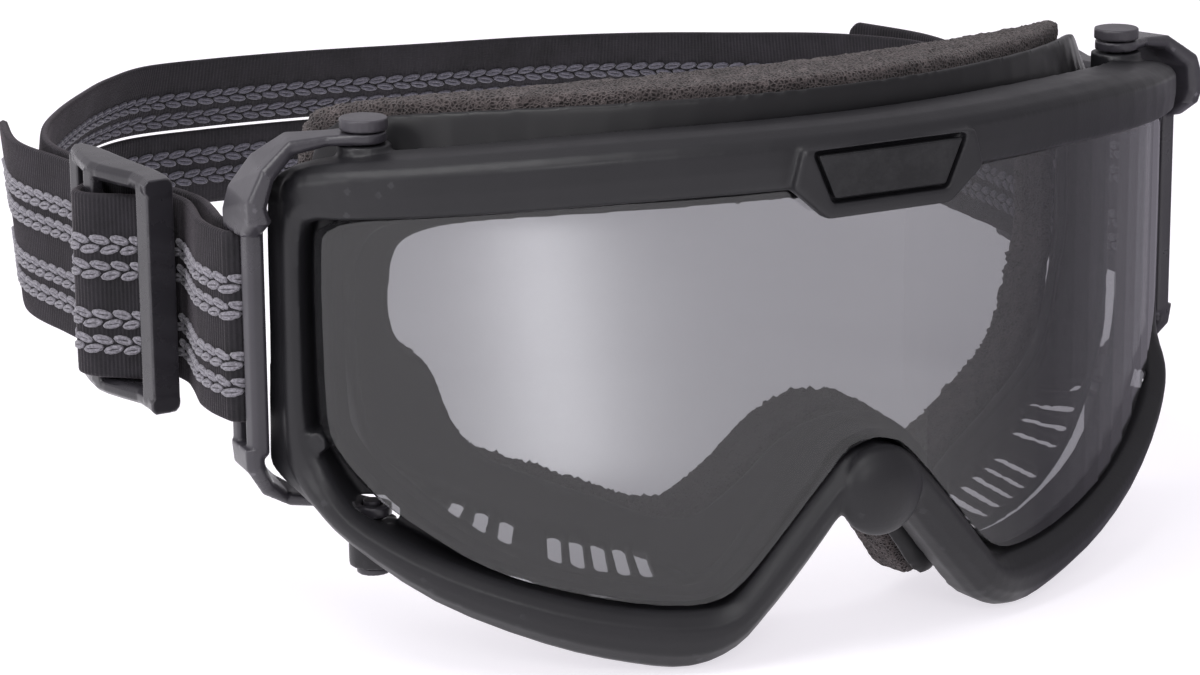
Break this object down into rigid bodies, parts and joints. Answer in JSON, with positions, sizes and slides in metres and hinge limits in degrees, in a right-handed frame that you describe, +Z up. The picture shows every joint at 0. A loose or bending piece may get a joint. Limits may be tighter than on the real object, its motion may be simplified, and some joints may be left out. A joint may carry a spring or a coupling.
{
  "type": "riding goggles",
  "caption": "Goggles with a curved one-piece lens in a deep moulded frame, a foam-faced skirt, hinged strap outriggers and a wide elastic strap with slider buckles.",
  "frame": {"origin": "middle of the outline's footprint, at the height of the frame's lowest lobes", "axes": "+Z up as worn, -Y the way the wearer looks, out through the lens, and -X towards the wearer's right"},
  "size_m": [0.2146, 0.2108, 0.0994],
  "materials": {
    "frame": "satin",
    "badge": "matte",
    "lens": "polished, lightly smoked",
    "gasket": "matte",
    "skirt": "satin",
    "foam": "open-cell foam",
    "pin": "satin",
    "slider": "semi-gloss",
    "strap": "woven elastic"
  },
  "bodies": {
    "goggles": {"front_frame": "frame", "badge_plate": "badge", "lens": "lens", "lens_gasket": "gasket", "face_skirt": "skirt", "face_foam": "foam", "nose_foam": "foam", "upper_pivot_pin_right": "pin", "upper_pivot_pin_left": "pin", "lower_pivot_pin_right": "pin", "lower_pivot_pin_left": "pin", "strap_main": "strap", "strap_tail_right": "strap", "strap_tail_left": "strap"},
    "outrigger_right": {"outrigger_right": "frame", "strap_loop_right": "strap"},
    "outrigger_left": {"outrigger_left": "frame", "strap_loop_left": "strap"},
    "slider_right": {"slider_right": "slider", "strap_fold_right": "strap"},
    "slider_left": {"slider_left": "slider", "strap_fold_left": "strap"}
  },
  "joints": [
    {"name": "outrigger_right_hinge", "type": "hinge", "parent": "goggles", "child": "outrigger_right", "pos_m": [-0.0767, -0.06106, 0.0592], "axis": [0, 0, 1], "range_deg": [-8, 25]},
    {"name": "outrigger_left_hinge", "type": "hinge", "parent": "goggles", "child": "outrigger_left", "pos_m": [0.0767, -0.06106, 0.0592], "axis": [0, 0, -1], "range_deg": [-8, 25]},
    {"name": "slider_right_slide", "type": "slide", "parent": "goggles", "child": "slider_right", "axis": [-0.085, 0.9964, 0], "range_m": [-0.004, 0.01]},
    {"name": "slider_left_slide", "type": "slide", "parent": "goggles", "child": "slider_left", "axis": [0.085, 0.9964, 0], "range_m": [-0.004, 0.01]}
  ]
}
